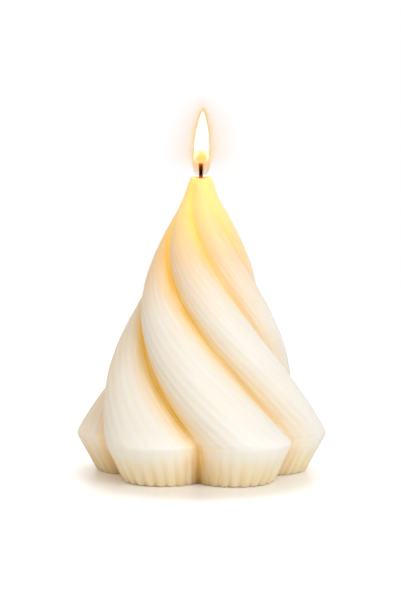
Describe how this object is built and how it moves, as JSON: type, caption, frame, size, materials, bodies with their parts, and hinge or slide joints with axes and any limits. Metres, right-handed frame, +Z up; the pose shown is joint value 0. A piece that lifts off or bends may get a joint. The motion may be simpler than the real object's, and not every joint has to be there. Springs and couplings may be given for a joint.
{
  "type": "spiral candle",
  "caption": "Ribbed spiral pillar candle: a moulded ivory wax cone of twisted lobes on a tapered foot, with a cotton wick, shown lit.",
  "frame": {"origin": "middle of the foot, on the surface that the candle stands on", "axes": "+Z up along the wick, -Y towards the front, where a groove between two lobes meets the foot, +X to the right seen from the front"},
  "size_m": [0.099, 0.092, 0.1438],
  "materials": {
    "wax": "ivory candle wax, satin, as it comes from a smooth mould",
    "wick_cotton": "braided cotton, charred black where it stands out of the wax",
    "flame_glow": "glowing candle flame, white in the middle and golden at the edge"
  },
  "bodies": {
    "root": {"wax_body": "wax", "wick": "wick_cotton", "flame": "flame_glow"}
  },
  "joints": []
}
